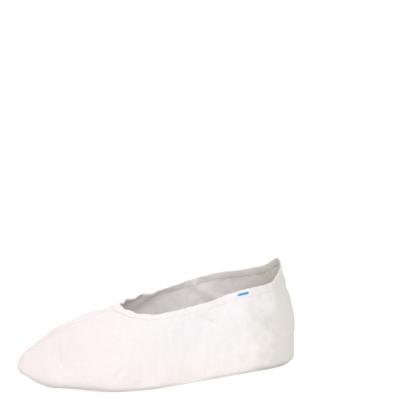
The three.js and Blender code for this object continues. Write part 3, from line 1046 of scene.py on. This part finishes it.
def welt_thread(name, around):
    """One tube that winds round the welt: an ellipse a thread's width outside the profile."""
    turns = int(seam_path(around, WELT_ROWS)[3][-1] / THREAD_TURN)
    centre, sideways, out, length, taper = seam_path(around, turns * TURN_STEPS)
    angle = 2 * np.pi * length[:, None] / THREAD_TURN
    across = np.cos(angle) * sideways * (WELT_HALF + THREAD_OFF)
    height = np.maximum(np.sin(angle), THREAD_BASE) * out * (WELT_HEIGHT + THREAD_OFF)
    line = centre + (across + height) * taper[:, None]
    forward = unit(np.gradient(line, axis=0))
    beside = unit(np.cross(forward, out))
    radius = np.full((1, len(line)), THREAD)
    return thread_tubes(name, line[None], beside[None], np.cross(beside, forward)[None], radius)


toe_welt = welt("toe_welt", TOE)
heel_welt = welt("heel_welt", HEEL)
toe_thread = welt_thread("toe_thread", TOE)
heel_thread = welt_thread("heel_thread", HEEL)

# %% [markdown]
# ## Materials
# The cloth is spunbonded: fine fibres are laid down at random and welded together in small
# points, which leaves a faint grid of dimples. It could be woven out of real threads, but they
# are finer than a hair, so bump does it. The grid is the product of two cosines on the cloth's
# own map, which puts a spot in the middle between every four others. It is a group, because the
# panels, the hem, the welts and the underside all use it.

# %% Bonded cloth group
SPOT_EDGE = (0.4, 0.8)  # product of the cosines where a spot begins, and where it is whole
FIBRES = (1500.0, 4.0, 0.65)  # scale, detail and roughness of the noise
FIBRE_HEIGHT, SPOT_HEIGHT = 0.8, 0.7  # shares of the bump


def bonded_cloth_group():
    """Height of the bonded grid and its fibres, from the cloth's map in metres."""
    wire, given, result = new_group(
        "bonded_cloth", {"Map": "Vector", "Pitch": "Float"}, {"Height": "Float", "Spots": "Float"})
    turn = wire.maths("DIVIDE", 2 * math.pi, given["Pitch"])
    cosines = (wire.maths("COSINE", wire.times(way, turn)) for way in wire.split(given["Map"])[:2])
    spots = wire.ramp(wire.times(*cosines), *SPOT_EDGE)
    fibres = wire.times(wire.noise(given["Map"], *FIBRES), FIBRE_HEIGHT)
    wire.feed(result["Height"], wire.maths("SUBTRACT", fibres, wire.times(spots, SPOT_HEIGHT)))
    wire.feed(result["Spots"], spots)
    return wire.tree


bonded_cloth = bonded_cloth_group()
print("group:", bonded_cloth.name)

# %% [markdown]
# Thin cloth that was folded in a packet also keeps hair-fine creases, straight and flat-sided.
# The edges between the cells of a Voronoi pattern look like them, once noise has bent the cells.

# %% Packet crease group
BEND_NOISE = 45.0  # scale of the noise that bends the cells
BEND_REACH = 0.014  # metres
CREASE_SIZES = (1.0, 2.3)  # how many times finer each of the two patterns is
CREASE_SLOPE = 0.16  # distance from a cell's edge at which the crease has ended
PATCH_NOISE, PATCH_EDGE = 28.0, (0.35, 0.6)  # patches where the finer creases show


def packet_crease_group():
    """Height of fine creases: the distance to the edges of bent cells, flat away from them."""
    wire, given, result = new_group(
        "packet_creases", {"Map": "Vector", "Cells": "Float"}, {"Height": "Float"})
    bend = wire.node("TexNoise", {"Vector": given["Map"], "Scale": BEND_NOISE}).outputs["Color"]
    shift = {0: bend, 1: (BEND_REACH, BEND_REACH, BEND_REACH), 2: given["Map"]}
    bent = wire.node("VectorMath", shift, operation="MULTIPLY_ADD").outputs[0]
    heights = []
    for finer in CREASE_SIZES:
        inputs = {"Vector": bent, "Scale": wire.times(given["Cells"], finer)}
        cells = wire.node("TexVoronoi", inputs, feature="DISTANCE_TO_EDGE")
        edges = wire.ramp(cells.outputs["Distance"], 0.0, CREASE_SLOPE)
        heights.append(wire.times(edges, 1 / finer))
    patches = wire.ramp(wire.noise(given["Map"], PATCH_NOISE), *PATCH_EDGE)
    wire.feed(result["Height"], wire.maths("ADD", heights[0], wire.times(heights[1], patches)))
    return wire.tree


packet_creases = packet_crease_group()
print("group:", packet_creases.name)

# %% [markdown]
# ## Colour of the cloth
# White is never one colour. The toe has a slight rose cast, and its tip is painted a little darker
# as shade. The lower half is painted lighter and warmer, as light bounced up from the floor, and
# the heel is painted a warm grey as shade. The cloth is faintly cloudy because its fibres lie
# thicker in some places. Valleys are painted a touch darker as shade, cloth that faces down at
# the toe is painted a neutral grey as the shade under it, and the underside is that grey where it is
# worn.

# %% Cloth tint group
# painted shade: the tip of the toe a little darker than the rest of the toe
TIP_SHADE_TINT = (0.854, 0.777, 0.789, 1)
TOE_TINT = (0.885, 0.801, 0.822, 1)
SIDE_TINT = (0.876, 0.841, 0.851, 1)
# painted shade: the heel a darker warm grey
HEEL_SHADE_TINT = (0.722, 0.694, 0.648, 1)
# painted light: the lower side lighter and warmer, as light bounced up from the floor
LOW_BOUNCE_LIGHT_TINT = (0.945, 0.872, 0.810, 1)
# painted shade in the valleys of the creases
CREASE_SHADE_TINT = (0.62, 0.575, 0.55, 1)
# grey of the underside's wear, and painted shade where the panels face down at the toe
RUB_AND_SHADE_TINT = (0.70, 0.69, 0.68, 1)
CLOUDS = (38.0, 3.0, 0.6)  # scale, detail and roughness of the noise
FINE_CLOUDS = (170.0, 3.0, 0.6)
CLOUD_SHIFT = 0.08  # metres along the foot by which the clouds move the tints
TINT_STEPS = [
    # measure, from and to, share of the tint at each, tint
    ("along", -0.115, -0.075, 0.0, 1.0, TOE_TINT),
    ("along", -0.12, 0.02, 0.0, 1.0, SIDE_TINT),
    # painted bounce light, fading out upwards from the floor
    ("height", 0.01, 0.055, 0.4, 0.0, LOW_BOUNCE_LIGHT_TINT),
    # painted shade over the heel
    ("along", 0.077, 0.13, 0.0, 1.0, HEEL_SHADE_TINT),
    ("fine clouds", 0.35, 0.75, 0.0, 0.10, HEEL_SHADE_TINT),
    # painted shade in the valleys, deeper where they lie deeper
    ("valley", 0.1, 1.6, 0.0, 0.22, CREASE_SHADE_TINT),
]
RUB_AND_SHADE_CLOUDS = (0.3, 0.7, 0.35, 0.8)  # clouds from and to, and how much of the wear and painted shade shows in each


def cloth_tint_group():
    """Colour from the place along the foot and from clouds, with painted shade at the tip, the heel,
    the valleys and where the cloth faces down, painted bounce light low on the side, and the
    underside's wear.
    """
    inputs = {"Place": "Vector", "Valley": "Float", "Rub_and_shade": "Float"}
    wire, given, result = new_group("cloth_tint", inputs, {"Color": "Color", "Clouds": "Float"})
    place = wire.split(given["Place"])
    clouds = wire.noise(given["Place"], *CLOUDS)
    shift = wire.maths("MULTIPLY_ADD", clouds, CLOUD_SHIFT, -CLOUD_SHIFT / 2)
    measures = {
        "along": wire.maths("ADD", place["X"], shift), "height": place["Z"],
        "fine clouds": wire.noise(given["Place"], *FINE_CLOUDS), "valley": given["Valley"],
    }
    # the tint starts from the painted shade at the tip of the toe
    tint = TIP_SHADE_TINT
    for measure, low, high, at_low, at_high, following in TINT_STEPS:
        tint = wire.mix(wire.ramp(measures[measure], low, high, at_low, at_high), tint, following)
    # real wear on the underside, painted shade on the panels where they face down
    rubbed_and_shaded = wire.times(given["Rub_and_shade"], wire.ramp(clouds, *RUB_AND_SHADE_CLOUDS))
    wire.feed(result["Color"], wire.mix(rubbed_and_shaded, tint, RUB_AND_SHADE_TINT))
    wire.feed(result["Clouds"], clouds)
    return wire.tree


cloth_tint = cloth_tint_group()
print("group:", cloth_tint.name)

# %% Cloth material
CLOTHS = {
    # name: pitch of the spots in mm, height of the bonds and of the creases in mm, roughness
    "bonded_white_cloth": (2.2, 0.05, 0.12, 0.66),
    "turned_seam_cloth": (1.6, 0.05, 0.05, 0.7),
    "hem_cloth": (2.2, 0.05, 0.05, 0.66),
    "gripping_sole_cloth": (2.2, 0.05, 0.06, 0.72),
}
CREASE_CELLS = 55  # for each metre
CLOUD_EDGE, CLOUD_ROUGHNESS = (0.3, 0.7), 0.06  # clouds are rougher or smoother by so much


def cloth_material(name):
    """The shader of one kind of cloth: tint, rougher and smoother clouds, two bumps in a row, and
    a weak sheen from the fibres that stand up."""
    pitch, bond_height, crease_height, roughness = CLOTHS[name]
    material, wire, shader = new_finish(name)
    cloth_map = wire.node("UVMap", uv_map="cloth").outputs["UV"]
    measures = {measure.capitalize(): wire.attribute(measure) for measure in ("valley", "rub_and_shade")}
    measures["Place"] = wire.node("TexCoord").outputs["Object"]
    tint = wire.node("Group", measures, node_tree=cloth_tint).outputs
    bonds = wire.node("Group", {"Map": cloth_map, "Pitch": pitch * MM}, node_tree=bonded_cloth)
    creases = wire.node("Group", {"Map": cloth_map, "Cells": CREASE_CELLS}, node_tree=packet_creases)
    fine = wire.bump(bonds.outputs["Height"], bond_height)
    smoother, rougher = roughness - CLOUD_ROUGHNESS, roughness + CLOUD_ROUGHNESS
    wire.fill(shader, {
        "Base Color": tint["Color"],
        "Roughness": wire.ramp(tint["Clouds"], *CLOUD_EDGE, smoother, rougher),
        "Normal": wire.bump(creases.outputs["Height"], crease_height, fine),
        "Specular IOR Level": 0.3, "Sheen Weight": 0.06, "Sheen Roughness": 0.4,
    })
    return material


upper_cloth, seam_cloth, hem_cloth, sole_cloth = (cloth_material(name) for name in CLOTHS)
print("materials:", list(CLOTHS))

# %% [markdown]
# ## Hem and underside finishes
# The hem is the same cloth with one small plain blue bar printed on it, on the inner side below
# the ankle. A bar with round ends is all that lies near a short line, so a distance draws it
# sharply at any size. The underside has rows of small clear grip dots on its lower face. There
# are some two thousand, and they are low, so one more bump over those of the cloth makes them.

# %% Hem finish
MARK_FROM_HEEL = -0.077  # metres along the hem, negative towards the inner side
MARK_UP = 0.0046
MARK_HALF_LENGTH = 0.0058
MARK_HALF_HEIGHT = 0.0016
MARK_EDGE = 0.0001  # half the width of its soft edge
MARK_INK = 0.92  # share of the ink in the colour
MARK_BLUE = (0.004, 0.32, 0.66, 1)


def print_bar(material):
    """Mixes blue into the base colour inside a rounded bar: the places nearer to a short straight
    line than the bar's half height."""
    wire, shader = nodes_of(material)
    straight = MARK_HALF_LENGTH - MARK_HALF_HEIGHT
    aside = wire.maths("ABSOLUTE", wire.maths("SUBTRACT", wire.attribute("from_heel"), MARK_FROM_HEEL))
    aside = wire.maths("MAXIMUM", wire.maths("SUBTRACT", aside, straight), 0.0)
    upwards = wire.maths("SUBTRACT", wire.attribute("from_stitches"), MARK_UP)
    squares = wire.maths("ADD", wire.times(aside, aside), wire.times(upwards, upwards))
    distance = wire.maths("SQRT", squares)
    edge = (MARK_HALF_HEIGHT - MARK_EDGE, MARK_HALF_HEIGHT + MARK_EDGE)
    colour = shader.inputs["Base Color"]
    cloth_colour = colour.links[0].from_socket
    wire.feed(colour, wire.mix(wire.ramp(distance, *edge, MARK_INK, 0.0), cloth_colour, MARK_BLUE))


print_bar(hem_cloth)
print("printed:", hem_cloth.name)

# %% Underside finish
GRIP_PITCH = 4.5
GRIP_HEIGHT = 0.25
GRIP_FACES = (-0.2, 0.2, 1.0, 0.12)  # slope from and to, and share of the dots below and above


def grip_dots(material):
    """Raised dots on a square grid of the cloth's map, over the two bumps of the cloth. They are
    printed on the lower face alone, and hardly show through to the upper one."""
    wire, shader = nodes_of(material)
    inputs = {"Map": wire.node("UVMap", uv_map="cloth").outputs["UV"], "Pitch": GRIP_PITCH * MM}
    dots = wire.node("Group", inputs, node_tree=bonded_cloth)
    facing = wire.split(wire.node("NewGeometry").outputs["Normal"])
    height = wire.times(dots.outputs["Spots"], wire.ramp(facing["Z"], *GRIP_FACES))
    normal = shader.inputs["Normal"]
    wire.feed(normal, wire.bump(height, GRIP_HEIGHT, normal.links[0].from_socket))


grip_dots(sole_cloth)
print("dotted:", sole_cloth.name)

# %% [markdown]
# ## Thread
# The thread is twisted from thin strands, whiter and smoother than the cloth. Strands of their
# own would be finer than anyone can see, so slanted stripes of bump stand for the twist, and a
# little noise keeps one stitch from looking just like the next.

# %% Thread finish
STRANDS = 900  # scale of the slanted stripes
STRAND_HEIGHT = 0.05
THREAD_SHADES = ((0.90, 0.86, 0.86, 1), (0.80, 0.765, 0.76, 1))
SHADE_NOISE = 300.0


def thread_material():
    """Twisted white thread: fine slanted stripes of bump and a soft shine."""
    material, wire, shader = new_finish("white_thread")
    place = wire.node("TexCoord").outputs["Object"]
    stripes = {"wave_type": "BANDS", "bands_direction": "DIAGONAL"}
    strands = wire.node("TexWave", {"Vector": place, "Scale": STRANDS}, **stripes)
    wire.fill(shader, {
        "Base Color": wire.mix(wire.noise(place, SHADE_NOISE), *THREAD_SHADES),
        "Normal": wire.bump(strands.outputs["Fac"], STRAND_HEIGHT),
        "Roughness": 0.5,
    })
    return material


thread_finish = thread_material()
print("material:", thread_finish.name)

# %% [markdown]
# ## Putting it together
# Every piece gets its finish and rides on the one body of the cover, and the imported piece that it
# stands for is hidden.

# %% Finishes and bodies
PIECES = [
    # piece, finish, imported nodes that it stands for, slot of the record
    (inner_panel, upper_cloth, "side_panel_inner", "upper_cloth"),
    (outer_panel, upper_cloth, "side_panel_outer", "upper_cloth"),
    (hem, hem_cloth, "elastic_hem", "hem_cloth"),
    (sole, sole_cloth, "sole_sheet", "sole_cloth"),
    (toe_welt, seam_cloth, "toe_seam", "seam_cloth"),
    (heel_welt, seam_cloth, "heel_seam", "seam_cloth"),
    (hem_stitches, thread_finish, None, "seam_cloth"),
    (toe_thread, thread_finish, None, "seam_cloth"),
    (heel_thread, thread_finish, None, "seam_cloth"),
]
for piece, finish, node, slot in PIECES:
    piece.data.materials.append(finish)
    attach(piece, "root")
    if node:
        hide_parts(node)
